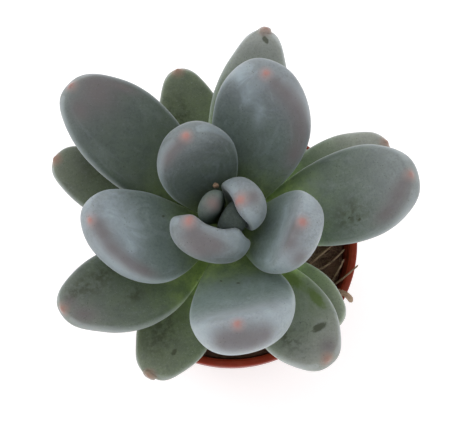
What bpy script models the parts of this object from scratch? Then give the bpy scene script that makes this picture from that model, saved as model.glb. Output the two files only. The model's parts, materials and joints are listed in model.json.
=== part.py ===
"""A potted succulent: a thick-leaved rosette on a short stem, in a small round nursery pot.

Run it with: blender --background --python part.py
Metres, +Z up. The origin is the centre of the pot's foot, on the surface that it stands on.
"""

import math
from typing import NamedTuple

import bmesh
import bpy
from mathutils import Vector

MM = 0.001
GAP = 0.3 * MM  # clearance between pieces that touch on the real plant

# Pot: thin moulded plastic, turned about the Z axis
POT_HEIGHT = 50.0 * MM
POT_TOP_RADIUS = 27.5 * MM
POT_FOOT_RADIUS = 19.5 * MM
POT_WALL = 0.9 * MM
POT_LIP_HEIGHT = 6.0 * MM
POT_LIP_OVERHANG = 0.7 * MM
POT_FLOOR_RAISE = 2.0 * MM
POT_FOOT_RING = 2.6 * MM
POT_BOSS_RADIUS = 4.0 * MM
POT_EDGE = 0.3 * MM  # how far the lip's edges are cut back
POT_LIP_TAPER = 0.5 * MM  # how much narrower the lip's lower edge is
POT_FOOT_EDGE = 0.6 * MM
POT_DRAFT = 0.5 * MM  # how far the upright walls under the floor lean
POT_STEPS = 64
DRAIN_HOLES = 6
DRAIN_RADIUS = 2.2 * MM
DRAIN_CIRCLE = 10.5 * MM
DRAIN_CUT = 8.0 * MM  # length of the cutter

# Soil: fills the pot to a little under the lip
SOIL_TOP = 43.5 * MM
SOIL_MOUND = 1.6 * MM  # how far it rises to the stem
SOIL_SHOULDER = 0.45  # where the mound has lost much of its height, as a share of the pot's radius
SOIL_LEVEL = 0.75  # where it has become level
SOIL_EDGE_DROP = 0.4 * MM
SOIL_STEPS = 48
SOCKET_DEPTH = 16.0 * MM

# Stem: leans a little as it rises, and carries the leaves on its upper part
STEM_RADIUS = 3.2 * MM
STEM_TOP_RADIUS = 1.2 * MM
STEM_TOP = 73.0 * MM
STEM_LEAN = -1.2 * MM
STEM_STEPS = 15
LEAF_TOP = 75.0 * MM
LEAF_PITCH = 1.15 * MM
CROWN_REACH = 0.8 * MM  # how far from the axis the leaves above the stem's end start

# Leaf shape, as shares of its length and width
LEAF_SIDES = 16
LEAF_RINGS = 13
NECK_WIDTH = 0.26
NECK_DEPTH = 0.42
BACK_DEPTH = 0.32
THICKEST = 0.7  # where along its length a leaf is thickest
END_BLUNT = 2.8  # how thick it stays before its end rounds off
CURL_START = 1.6  # how late along the leaf its upward curve comes
SWELL = 1.25  # how late along the leaf it widens
FOOT_ROUND = 0.05  # the share of its length over which its foot is rounded
MIDLINE_STEPS = 60


class Leaf(NamedTuple):
    """One leaf. Angles are in degrees and lengths in millimetres."""

    direction: float  # compass direction that it grows in, anticlockwise from +X
    length: float  # along its midline
    width: float  # at its widest
    rise: float  # slope where it leaves the stem
    rise_tip: float  # slope at its tip
    sweep: float = 0.0  # how far its tip bends sideways, mostly near the end
    cup: float = 0.06  # how far its sides stand up, as a share of half the width
    blunt: float = 2.1  # 2 is a round end, and less is more pointed
    widest: float = 0.62  # where along its length it is widest
    full: float = 0.8  # under 1 squares the cross-section, so that the edges are plump
    face: float = 0.13  # how far its upper face stands over its edge, as a share of its width
    dish: float = 0.03  # how far the middle of that face sinks back, as a share of its width


# From the crown outwards, each about 222 degrees round from the one before
LEAVES = [
    Leaf(330, 9.0, 7.0, 84, 92, cup=0.0),
    Leaf(147, 11.5, 7.7, 66, 96, cup=0.0),
    Leaf(34, 14.6, 12.0, 56, 120, cup=0.30, dish=0.06, full=0.6),
    Leaf(255, 17.2, 15.8, 56, 118, sweep=-6.6, cup=0.2, dish=0.05, full=0.75),
    Leaf(118.5, 24.7, 17.2, 44, 66),
    Leaf(343, 23.8, 18.2, 34, 86, sweep=2.0),
    Leaf(196.0, 29.4, 20.4, 24, 44, sweep=-6.2, widest=0.6),
    Leaf(67.6, 36.3, 21.2, 22, 72, sweep=3.0, widest=0.62),
    Leaf(282.3, 32.6, 22.6, 20, 90, sweep=-2.8),
    Leaf(137.7, 43.7, 19.8, 18, 36, sweep=1.6, blunt=2.0, widest=0.6),
    Leaf(12.6, 41.2, 20.0, 14, 46, widest=0.66),
    Leaf(214.0, 37.2, 18.8, 10, 24, sweep=-4.0, blunt=1.85, widest=0.58),
    Leaf(79.5, 42.3, 16.4, 14, 38, sweep=-0.7, blunt=1.65, widest=0.56),
    Leaf(306.5, 34.0, 17.2, 6, 32, blunt=1.9),
    Leaf(157.5, 37.5, 14.5, 4, 22, blunt=1.95, widest=0.6),
    Leaf(29, 36.8, 15.0, 5, 24, blunt=1.85),
    Leaf(241.5, 32.0, 15.8, -2, 18, blunt=1.75),
    Leaf(107, 35.0, 14.0, 0, 32, blunt=1.85),
    Leaf(322.5, 27.5, 12.5, 0, 18, blunt=1.9),
    Leaf(47, 23.0, 11.0, -4, 12, blunt=1.9),
]


class Strand(NamedTuple):
    """A bit of root or dry stalk in the soil, along a bend from start to end. Millimetres."""

    name: str
    start: tuple
    middle: tuple  # the bend's control point
    end: tuple
    thickness: float
    end_thickness: float


STRANDS = [
    Strand("root_twig", (19.0, -9.5, 45.6), (25.2, -11.6, 56.4), (26.0, -12.6, 48.6), 1.1, 1.4),
    Strand("root_fibre_1", (21.8, -9.2, 44.8), (24.8, -8.0, 52.6), (27.6, -5.2, 51.0), 0.5, 0.4),
    Strand("root_fibre_2", (22.0, -8.0, 44.6), (23.2, -6.6, 50.0), (24.6, -3.6, 49.0), 0.5, 0.4),
    Strand("root_fibre_3", (18.6, -5.6, 45.0), (22.0, -4.6, 48.6), (24.8, -1.2, 48.0), 0.5, 0.4),
    Strand("root_fibre_4", (16.8, -4.4, 45.2), (19.2, -2.8, 48.0), (22.6, 0.4, 45.6), 0.6, 0.4),
]
STRAND_STEPS = 10

# Dry scale: a withered bit caught between the crown's leaves
SCALE_PLACE = (-3.2, 6.0, 82.2)
SCALE_SIZE = (0.6, 0.5, 1.1)


def leaf_share(t, start, widest, blunt):
    """A leaf's width or depth at share t of its length: it swells from start to 1, then rounds off."""
    if t < widest:
        swell = start + (1 - start) * math.sin(math.pi / 2 * t / widest) ** SWELL
        cap = min(1.0, t / FOOT_ROUND)
        return swell * math.sqrt(1 - (1 - cap) ** 2)
    past = (t - widest) / (1 - widest)
    return max(0.0, 1 - past**blunt) ** (1 / blunt)


def stem_centre(z):
    """Where the stem's middle is at height z: upright in the soil, leaning above it."""
    share = max(0.0, (z - SOIL_TOP) / (STEM_TOP - SOIL_TOP))
    return Vector((STEM_LEAN * math.sin(math.pi / 2 * min(share, 1.0)), 0.0, z))


def stem_radius(z):
    share = max(0.0, (z - SOIL_TOP) / (STEM_TOP - SOIL_TOP))
    return STEM_RADIUS + (STEM_TOP_RADIUS - STEM_RADIUS) * min(share, 1.0) ** 2


def new_material(name, colour, roughness):
    material = bpy.data.materials.new(name)
    material.use_nodes = True
    shader = material.node_tree.nodes["Principled BSDF"]
    shader.inputs["Base Color"].default_value = (*colour, 1.0)
    shader.inputs["Roughness"].default_value = roughness
    shader.inputs["Metallic"].default_value = 0.0
    return material


def add_object(name, data, material, collection):
    obj = bpy.data.objects.new(name, data)
    if material:
        data.materials.append(material)
    collection.objects.link(obj)
    return obj


def midline(leaf, reach):
    """The leaf's middle as (out, up, slope) at equal steps, curving upwards towards the tip."""
    out, up = reach, 0.0
    points = []
    step = leaf.length * MM / MIDLINE_STEPS
    for number in range(MIDLINE_STEPS + 1):
        share = number / MIDLINE_STEPS
        slope = math.radians(leaf.rise + (leaf.rise_tip - leaf.rise) * share**CURL_START)
        points.append((out, up, slope))
        out += step * math.cos(slope)
        up += step * math.sin(slope)
    return points


def make_leaf(number, leaf):
    """A ball drawn out along an upward curve, flat above and full below, narrow at the stem."""
    name = f"leaf_{number:02d}"
    height = LEAF_TOP - LEAF_PITCH * (number - 1)
    half_width = leaf.width * MM / 2
    reach = stem_radius(height) + GAP if height < STEM_TOP else CROWN_REACH
    points = midline(leaf, reach)

    bm = bmesh.new()
    bmesh.ops.create_uvsphere(bm, u_segments=LEAF_SIDES, v_segments=LEAF_RINGS, radius=1.0)
    for vert in bm.verts:
        t = (1 + vert.co.z) / 2
        around = math.atan2(vert.co.y, vert.co.x)
        width_here = leaf_share(t, NECK_WIDTH, leaf.widest, leaf.blunt)
        depth_here = leaf_share(t, NECK_DEPTH, THICKEST, END_BLUNT)
        sideways = math.copysign(abs(math.cos(around)) ** leaf.full, math.cos(around))
        upwards = math.copysign(abs(math.sin(around)) ** leaf.full, math.sin(around))
        side = sideways * half_width * width_here
        lift = leaf.cup * side * side / half_width
        if upwards > 0:
            middle = (1 - sideways**2) * depth_here
            lift += (upwards * leaf.face * depth_here - middle * leaf.dish) * leaf.width * MM
        else:
            lift += upwards * depth_here * BACK_DEPTH * leaf.width * MM
        across = side + leaf.sweep * MM * t**3
        out, up, slope = points[round(t * MIDLINE_STEPS)]
        vert.co = (out - lift * math.sin(slope), across, up + lift * math.cos(slope))
    mesh = bpy.data.meshes.new(name)
    bm.to_mesh(mesh)
    bm.free()
    mesh.shade_smooth()
    obj = add_object(name, mesh, MATERIALS["leaf"], PARTS)
    obj.location = stem_centre(height)
    obj.rotation_euler.z = math.radians(leaf.direction)
    return obj


def turn_profile(name, points, material, steps=POT_STEPS):
    """Turns an outline in the XZ plane about Z. Its outer side runs from top to bottom."""
    mesh = bpy.data.meshes.new(name)
    edges = [(i, i + 1) for i in range(len(points) - 1)]
    mesh.from_pydata([(x, 0.0, z) for x, z in points], edges, [])
    obj = add_object(name, mesh, material, PARTS)
    screw = obj.modifiers.new("Turn", "SCREW")
    screw.steps = screw.render_steps = steps
    screw.use_merge_vertices = True
    screw.merge_threshold = 0.00005
    return obj


def pot_radius(z):
    """The pot's outer radius at height z, under the lip."""
    share = z / POT_HEIGHT
    top = POT_TOP_RADIUS - POT_LIP_OVERHANG
    return POT_FOOT_RADIUS + (top - POT_FOOT_RADIUS) * share


def make_pot():
    floor_top = POT_FLOOR_RAISE + POT_WALL
    lip_foot = POT_HEIGHT - POT_LIP_HEIGHT
    ring_inner = POT_FOOT_RADIUS - POT_FOOT_RING
    profile = [
        (0.0, floor_top),
        (pot_radius(floor_top) - POT_WALL, floor_top),
        (pot_radius(POT_HEIGHT) - POT_WALL, POT_HEIGHT - POT_EDGE),
        (pot_radius(POT_HEIGHT) - POT_WALL + POT_EDGE, POT_HEIGHT),
        (POT_TOP_RADIUS - POT_EDGE, POT_HEIGHT),
        (POT_TOP_RADIUS, POT_HEIGHT - POT_EDGE),
        (POT_TOP_RADIUS - POT_LIP_TAPER, lip_foot),
        (pot_radius(lip_foot), lip_foot),
        (pot_radius(POT_FOOT_EDGE), POT_FOOT_EDGE),
        (POT_FOOT_RADIUS - POT_FOOT_EDGE, 0.0),
        (ring_inner, 0.0),
        (ring_inner - POT_DRAFT, POT_FLOOR_RAISE),
        (POT_BOSS_RADIUS + POT_DRAFT, POT_FLOOR_RAISE),
        (POT_BOSS_RADIUS, 0.0),
        (0.0, 0.0),
    ]
    pot = turn_profile("pot", profile, MATERIALS["pot"])
    for number in range(DRAIN_HOLES):
        angle = 2 * math.pi * number / DRAIN_HOLES
        cutter_mesh = bpy.data.meshes.new(f"drain_cutter_{number + 1}")
        bm = bmesh.new()
        bmesh.ops.create_cone(
            bm, cap_ends=True, segments=20, radius1=DRAIN_RADIUS, radius2=DRAIN_RADIUS, depth=DRAIN_CUT
        )
        bm.to_mesh(cutter_mesh)
        bm.free()
        cutter = add_object(cutter_mesh.name, cutter_mesh, None, CUTTERS)
        cutter.location = (DRAIN_CIRCLE * math.cos(angle), DRAIN_CIRCLE * math.sin(angle), POT_FLOOR_RAISE)
        cutter.hide_render = True
        cutter.display_type = "WIRE"
        cut = pot.modifiers.new(f"Drain hole {number + 1}", "BOOLEAN")
        cut.operation = "DIFFERENCE"
        cut.object = cutter
    return pot


def make_soil():
    bottom = POT_FLOOR_RAISE + POT_WALL + GAP
    socket = SOIL_TOP - SOCKET_DEPTH
    hole = STEM_RADIUS + GAP
    profile = [
        (0.0, socket),
        (hole, socket),
        (hole, SOIL_TOP + SOIL_MOUND),
        (SOIL_SHOULDER * POT_TOP_RADIUS, SOIL_TOP + 0.6 * SOIL_MOUND),
        (SOIL_LEVEL * POT_TOP_RADIUS, SOIL_TOP),
        (pot_radius(SOIL_TOP) - POT_WALL - GAP, SOIL_TOP - SOIL_EDGE_DROP),
        (pot_radius(bottom) - POT_WALL - GAP, bottom),
        (0.0, bottom),
    ]
    return turn_profile("soil", profile, MATERIALS["soil"], steps=SOIL_STEPS)


def make_tube(name, places, radii, bevel_resolution, material):
    """A closed round tube through the places given."""
    curve = bpy.data.curves.new(name, "CURVE")
    curve.dimensions = "3D"
    curve.bevel_depth = 1.0
    curve.bevel_resolution = bevel_resolution
    curve.use_fill_caps = True
    spline = curve.splines.new("POLY")
    spline.points.add(len(places) - 1)
    for point, place, radius in zip(spline.points, places, radii):
        point.co = (*place, 1.0)
        point.radius = radius
    return add_object(name, curve, material, PARTS)


def make_stem():
    """A leaning tube that tapers towards the crown."""
    foot = SOIL_TOP - SOCKET_DEPTH + GAP
    heights = [foot + (STEM_TOP - foot) * number / STEM_STEPS for number in range(STEM_STEPS + 1)]
    places = [stem_centre(z) for z in heights]
    return make_tube("stem", places, [stem_radius(z) for z in heights], 3, MATERIALS["stem"])


def make_strand(strand):
    """A thin tube along one smooth bend."""
    start, middle, end = (Vector(point) * MM for point in (strand.start, strand.middle, strand.end))
    places = []
    radii = []
    for number in range(STRAND_STEPS + 1):
        t = number / STRAND_STEPS
        places.append(start * (1 - t) ** 2 + middle * 2 * t * (1 - t) + end * t * t)
        radii.append((strand.thickness + (strand.end_thickness - strand.thickness) * t) * MM / 2)
    return make_tube(strand.name, places, radii, 2, MATERIALS["root"])


def make_scale():
    mesh = bpy.data.meshes.new("dry_scale")
    bm = bmesh.new()
    bmesh.ops.create_uvsphere(bm, u_segments=10, v_segments=8, radius=1.0)
    bmesh.ops.scale(bm, vec=Vector(SCALE_SIZE) * MM, verts=bm.verts)
    bm.to_mesh(mesh)
    bm.free()
    mesh.shade_smooth()
    scale = add_object("dry_scale", mesh, MATERIALS["root"], PARTS)
    scale.location = Vector(SCALE_PLACE) * MM
    return scale


for old in list(bpy.data.objects):
    bpy.data.objects.remove(old, do_unlink=True)

PARTS = bpy.data.collections.new("potted_succulent")
CUTTERS = bpy.data.collections.new("cutters")
bpy.context.scene.collection.children.link(PARTS)
bpy.context.scene.collection.children.link(CUTTERS)

MATERIALS = {
    "leaf": new_material("leaf", (0.24, 0.31, 0.27), 0.6),
    "stem": new_material("stem", (0.30, 0.27, 0.17), 0.8),
    "root": new_material("root", (0.34, 0.24, 0.15), 0.85),
    "soil": new_material("soil", (0.05, 0.03, 0.02), 0.95),
    "pot": new_material("pot", (0.42, 0.12, 0.06), 0.5),
}

make_pot()
make_soil()
make_stem()
make_scale()
for strand_row in STRANDS:
    make_strand(strand_row)
for leaf_number, leaf_row in enumerate(LEAVES, start=1):
    make_leaf(leaf_number, leaf_row)
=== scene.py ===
import json
import math
import random

import bmesh
import bpy
import numpy as np
from mathutils import Euler, Matrix, Vector, noise

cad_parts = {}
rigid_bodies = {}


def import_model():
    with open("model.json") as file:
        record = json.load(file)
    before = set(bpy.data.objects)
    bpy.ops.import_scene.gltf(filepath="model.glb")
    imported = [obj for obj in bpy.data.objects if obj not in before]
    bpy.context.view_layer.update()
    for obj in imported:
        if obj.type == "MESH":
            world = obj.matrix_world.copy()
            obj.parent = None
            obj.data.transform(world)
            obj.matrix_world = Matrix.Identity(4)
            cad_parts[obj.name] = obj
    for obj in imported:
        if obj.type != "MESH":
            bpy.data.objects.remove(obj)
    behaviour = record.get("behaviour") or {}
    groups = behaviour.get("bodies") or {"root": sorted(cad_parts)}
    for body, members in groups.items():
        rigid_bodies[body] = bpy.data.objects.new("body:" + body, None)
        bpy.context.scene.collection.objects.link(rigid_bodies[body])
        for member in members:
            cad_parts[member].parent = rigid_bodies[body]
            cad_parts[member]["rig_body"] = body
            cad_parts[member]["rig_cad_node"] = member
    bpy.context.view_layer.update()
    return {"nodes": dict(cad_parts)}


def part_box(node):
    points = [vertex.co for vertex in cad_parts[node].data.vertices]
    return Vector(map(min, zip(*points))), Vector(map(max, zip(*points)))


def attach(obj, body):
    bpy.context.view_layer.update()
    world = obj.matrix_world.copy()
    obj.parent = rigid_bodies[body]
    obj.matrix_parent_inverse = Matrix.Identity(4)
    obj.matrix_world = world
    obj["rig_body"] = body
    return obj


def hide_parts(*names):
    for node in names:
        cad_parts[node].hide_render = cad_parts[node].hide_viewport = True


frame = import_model()
mm = 0.001
scene = bpy.context.scene
leafNodes = sorted(name for name in frame["nodes"] if name.startswith("leaf_"))
print("frame loaded,", len(frame["nodes"]), "nodes,", len(leafNodes), "leaves")


# ---- helpers that every piece uses

def pick(piece):
    # only this piece is selected and active
    bpy.ops.object.select_all(action="DESELECT")
    piece.select_set(True)
    bpy.context.view_layer.objects.active = piece


def applyAll(piece):
    pick(piece)
    for modifier in list(piece.modifiers):
        bpy.ops.object.modifier_apply(modifier=modifier.name)


def settle(piece, name, replaced=()):
    # the piece's place goes into its mesh, and it joins the frame
    pick(piece)
    bpy.ops.object.transform_apply(location=True, rotation=True, scale=True)
    piece.name = piece.data.name = name
    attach(piece, "root")
    if replaced:
        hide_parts(*replaced)
    return piece


# ---- shader sums

class Wire:
    # one output of a node; sums on wires add Math nodes
    def __init__(self, tree, socket=None):
        self.tree = tree
        self.socket = socket

    def node(self, kind, settings=None, inputs=None, output=0):
        made = self.tree.nodes.new(kind)
        for key, value in (settings or {}).items():
            setattr(made, key, value)
        for key, value in (inputs or {}).items():
            socket = made.inputs[key]
            if isinstance(value, Wire):
                self.tree.links.new(value.socket, socket)
            elif isinstance(value, tuple) and len(value) < len(socket.default_value):
                socket.default_value = (*value, 1)  # a colour's alpha
            else:
                socket.default_value = value
        return Wire(self.tree, made.outputs[output])

    def maths(self, operation, first, second=0.0, clamp=False):
        settings = {"operation": operation, "use_clamp": clamp}
        return self.node("ShaderNodeMath", settings, {0: first, 1: second})

    def __add__(self, other):
        return self.maths("ADD", self, other)

    def __radd__(self, other):
        return self.maths("ADD", other, self)

    def __sub__(self, other):
        return self.maths("SUBTRACT", self, other)

    def __rsub__(self, other):
        return self.maths("SUBTRACT", other, self)

    def __mul__(self, other):
        return self.maths("MULTIPLY", self, other)

    def __rmul__(self, other):
        return self.maths("MULTIPLY", other, self)

    def __truediv__(self, other):
        return self.maths("DIVIDE", self, other)

    def __pow__(self, other):
        return self.maths("POWER", self, other)

    def __abs__(self):
        return self.maths("ABSOLUTE", self)

    def clip(self):
        return self.maths("ADD", self, 0.0, clamp=True)

    def ease(self, low, high, start=0.0, end=1.0):
        # from start to end as the value goes from low to high, smoothly
        return self.node("ShaderNodeMapRange", {"interpolation_type": "SMOOTHSTEP"},
                         {0: self, 1: low, 2: high, 3: start, 4: end})

    def tint(self, share, first, second):
        return self.node("ShaderNodeMix", {"data_type": "RGBA"}, {0: share, 6: first, 7: second}, output=2)

    def lighten(self, times):
        # a colour made this many times lighter
        return self.node("ShaderNodeVectorMath", {"operation": "SCALE"}, {0: self, 3: times})

    def attribute(self, name):
        return self.node("ShaderNodeAttribute", {"attribute_name": name}, output=2)

    def place(self):
        return self.node("ShaderNodeTexCoord", output=3)

    def split(self):
        parts = self.tree.nodes.new("ShaderNodeSeparateXYZ")
        self.tree.links.new(self.socket, parts.inputs[0])
        return [Wire(self.tree, socket) for socket in parts.outputs]

    def stretched(self, scale, turn=(0, 0, 0)):
        return self.node("ShaderNodeMapping", inputs={0: self.place(), 2: turn, 3: scale})

    def cloud(self, scale, detail=3.0, rough=0.55, where=None, twist=0.0):
        return self.node("ShaderNodeTexNoise", inputs={
            "Vector": where or self.place(), "Scale": scale, "Detail": detail,
            "Roughness": rough, "Distortion": twist,
        })

    def cells(self, scale):
        return self.node("ShaderNodeTexVoronoi", inputs={"Vector": self.place(), "Scale": scale})

    def bump(self, height, distance, strength, under=None):
        inputs = {"Height": height, "Distance": distance, "Strength": strength}
        if under:
            inputs["Normal"] = under
        return self.node("ShaderNodeBump", inputs=inputs)


def newFinish(name, fixed):
    # a Principled material; fixed values are set on its own sockets
    material = bpy.data.materials.new(name)
    material.use_nodes = True
    shader = material.node_tree.nodes["Principled BSDF"]
    for key, value in fixed.items():
        shader.inputs[key].default_value = value
    return material, shader, Wire(material.node_tree)


def plug(shader, **wires):
    names = {"colour": "Base Color", "rough": "Roughness", "normal": "Normal"}
    for key, wire in wires.items():
        shader.id_data.links.new(wire.socket, shader.inputs[names[key]])


# ---- leaf skin: green flesh under a pale waxy bloom, rosy at the point

leafSkin = {
    "foot": (0.170, 0.245, 0.066),
    "footDeep": (0.105, 0.160, 0.052),
    # painted light: the foot of an outer leaf lies in the shaded gaps under the leaves above and is painted
    # this many times lighter
    "outerFootPaintedLight": 3.5,  # how much lighter the foot of an outer leaf is
    "face": (0.150, 0.195, 0.178),
    "faceOld": (0.135, 0.165, 0.118),
    "faceShade": (0.078, 0.104, 0.080),
    "end": (0.245, 0.272, 0.288),
    "endOld": (0.230, 0.232, 0.212),
    # pale wax bloom; the painted highlights on the crests and edges use this colour too
    "frostAndHighlight": (0.330, 0.395, 0.430),
    "frostAndHighlightOld": (0.338, 0.374, 0.388),
    "dusk": (0.136, 0.114, 0.116),
    "rosy": (0.360, 0.215, 0.200),
    "point": (0.400, 0.160, 0.130),
    "tan": (0.270, 0.155, 0.110),
    "speck": (0.028, 0.036, 0.022),
    "stain": (0.042, 0.048, 0.022),
    "patch": (0.095, 0.150, 0.025),
}


def makeLeafSkin(spec, name, sheen, gloss):
    material, shader, w = newFinish(name, {
        "Subsurface Weight": 0.15, "Subsurface Radius": (1.0, 1.0, 0.4), "Subsurface Scale": 1.2 * mm,
        "Sheen Weight": sheen, "Sheen Roughness": 0.35, "Sheen Tint": (0.92, 0.96, 1.0, 1),
        "IOR": 1.42, "Specular IOR Level": gloss,
    })
    along, side, upper, age = (w.attribute(key) for key in ("along", "side", "upper", "age"))
    tipNear, seed, waxy, toneAndPaintedLight = (w.attribute(key) for key in ("tipNear", "seed", "waxy", "toneAndPaintedLight"))
    paintedCrestHighlight, flushed, stain, patch = (w.attribute(key) for key in ("frostAndHighlight", "flush", "stain", "patch"))
    mottle, blush = (w.attribute(key) for key in ("mottle", "blush"))
    ownPlace = w.node("ShaderNodeCombineXYZ", inputs={0: side * 2.4 + seed, 1: along * 4.6, 2: upper * 2.0})
    clouds = w.cloud(110.0, 4.0, 0.6)
    patches = w.cloud(330.0, 4.0, 0.62)
    grain = w.cloud(1700.0, 3.0, 0.7)
    wisps = w.cloud(1.0, 5.0, 0.62, ownPlace, 1.3)
    rubbed = w.cloud(170.0, 5.0, 0.66, twist=1.2)
    old = age.ease(0.42, 0.72)
    frostAndHighlight = w.tint(age.ease(0.36, 0.56), spec["frostAndHighlight"], spec["frostAndHighlightOld"])

    # flesh at the foot, a grey-green face, and a pale end
    foot = w.tint(patches.ease(0.3, 0.7), spec["footDeep"], spec["foot"])
    outer = age.ease(0.40, 0.58)
    # painted light on the foot of an outer leaf, which lies in shade under the leaves above
    foot = foot.lighten(1 + (spec["outerFootPaintedLight"] - 1) * outer)
    face = w.tint(old, spec["face"], spec["faceOld"])
    shade = clouds.ease(0.42, 0.66) * 0.28 + patches.ease(0.45, 0.7) * (0.12 + 0.40 * old)
    face = w.tint(shade.clip(), face, spec["faceShade"])
    end = w.tint(old, spec["end"], spec["endOld"])
    reach = along + 0.12 * (wisps - 0.5) + 0.04 * (grain - 0.5)
    faceShare = reach.ease(0.12, 0.50 + 0.08 * outer)
    colour = w.tint(faceShare * (0.82 + 0.18 * waxy), foot, face)
    colour = w.tint((reach.ease(0.50, 0.97) * (0.30 + 0.70 * waxy)).clip(), colour, end)
    # the lightness carries painted light and shade as well as the leaf's own tone; the end of a waxy leaf is
    # paler
    lightness = toneAndPaintedLight + (1 - toneAndPaintedLight) * along.ease(0.80, 1.0) * waxy.ease(0.0, 0.35) * 0.45
    lightness = lightness * (1 + 0.85 * (grain - 0.5) + 0.45 * (patches - 0.5))
    colour = colour.lighten(lightness)

    # bloom in soft wisps and rubbed off in places, and a painted highlight along the crest of the end in the
    # bloom's pale colour
    bloom = wisps.ease(0.48, 0.72) * along.ease(0.25, 0.6) * 0.20 * waxy
    colour = w.tint((bloom + paintedCrestHighlight * (0.34 + 0.34 * wisps.ease(0.3, 0.65))).clip(), colour, frostAndHighlight)
    worn = rubbed.ease(0.58, 0.72) * (0.14 + 0.30 * old) * (1 - paintedCrestHighlight)
    colour = w.tint(worn.clip(), colour, spec["faceShade"])

    # the leaf's two edges are paler, partly paler bloom and partly a painted rim highlight where the bright
    # surround grazes the silhouette; the end has a dusky flush, and the point itself is rosy
    edge = abs(side).ease(0.88, 1.0) * along.ease(0.2, 0.5) * waxy.ease(0.0, 0.2)
    colour = w.tint(edge * 0.30, colour, frostAndHighlight)
    colour = w.tint((flushed * (0.70 + 0.2 * patches)).clip(), colour, spec["dusk"])
    near = tipNear + 0.8 * (patches - 0.5) + 0.5 * (grain - 0.5)
    halo = (1 - near.ease(0.2, 2.3)) * 0.60 * (1 - 0.55 * old) * blush
    colour = w.tint(halo.clip(), colour, spec["rosy"])
    core = (1 - near.ease(0.1, 1.15)) * (0.62 - 0.30 * old) * blush
    colour = w.tint(core.clip(), colour, spec["point"])
    browned = (1 - near.ease(0.3, 2.3)) * old * (0.45 + 0.4 * patches) * blush
    colour = w.tint(browned.clip(), colour, spec["tan"])

    # pricks, freckles, a dust of wax, and the marks of single leaves
    pricks = (1 - w.cells(1250.0).ease(0.10, 0.20)) * patches.ease(0.50, 0.62)
    freckles = grain.ease(0.52, 0.68) * rubbed.ease(0.42, 0.60) * (0.22 + 0.48 * age.ease(0.30, 0.60))
    colour = w.tint((pricks * 0.5 + freckles * 0.6).clip(), colour, spec["speck"])
    dust = w.cloud(3600.0, 2.0, 0.6).ease(0.58, 0.74) * (0.10 + 0.16 * old)
    colour = w.tint(dust.clip(), colour, frostAndHighlight)
    ragged = w.cloud(800.0, 4.0, 0.65)
    mottled = mottle * (ragged.ease(0.40, 0.62) * 0.60 + 0.12)
    colour = w.tint(mottled.clip(), colour, spec["stain"])
    raggedStain = (stain * (0.1 + 1.8 * ragged)).ease(0.30, 0.70)
    colour = w.tint(raggedStain * 0.78, colour, spec["stain"])
    raggedPatch = (patch * (0.2 + 1.6 * ragged)).ease(0.15, 0.80)
    colour = w.tint(raggedPatch * 0.8, colour, spec["patch"])

    normal = w.bump(grain, 0.020 * mm, 0.5)
    normal = w.bump(w.cells(2300.0), 0.010 * mm, 0.5, normal)
    normal = w.bump(patches, 0.05 * mm, 0.5, normal)
    normal = w.bump(rubbed, 0.06 * mm, 0.4, normal)
    normal = w.bump(raggedStain, -0.08 * mm, 0.6, normal)
    rough = 0.48 + 0.10 * (grain - 0.5) - 0.06 * paintedCrestHighlight + 0.12 * worn + 0.1 * raggedStain
    plug(shader, colour=colour, rough=rough.clip(), normal=normal)
    return material


# ---- pot plastic: brick-red and moulded, dusty outside and darker in patches inside, fading out towards the lip

potPlastic = {
    "body": (0.230, 0.021, 0.007),
    "deep": (0.100, 0.010, 0.0045),
    "worn": (0.260, 0.044, 0.020),
    "dust": (0.170, 0.090, 0.058),
    # dark brown for the inner wall's darker patches
    "innerDarkPatches": (0.040, 0.018, 0.010),
    "wallAtFoot": 0.71,  # how far out the wall stands at the foot, as a share of the rim
}
potTaper = 0.146  # how far the wall leans out on its way up


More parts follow.
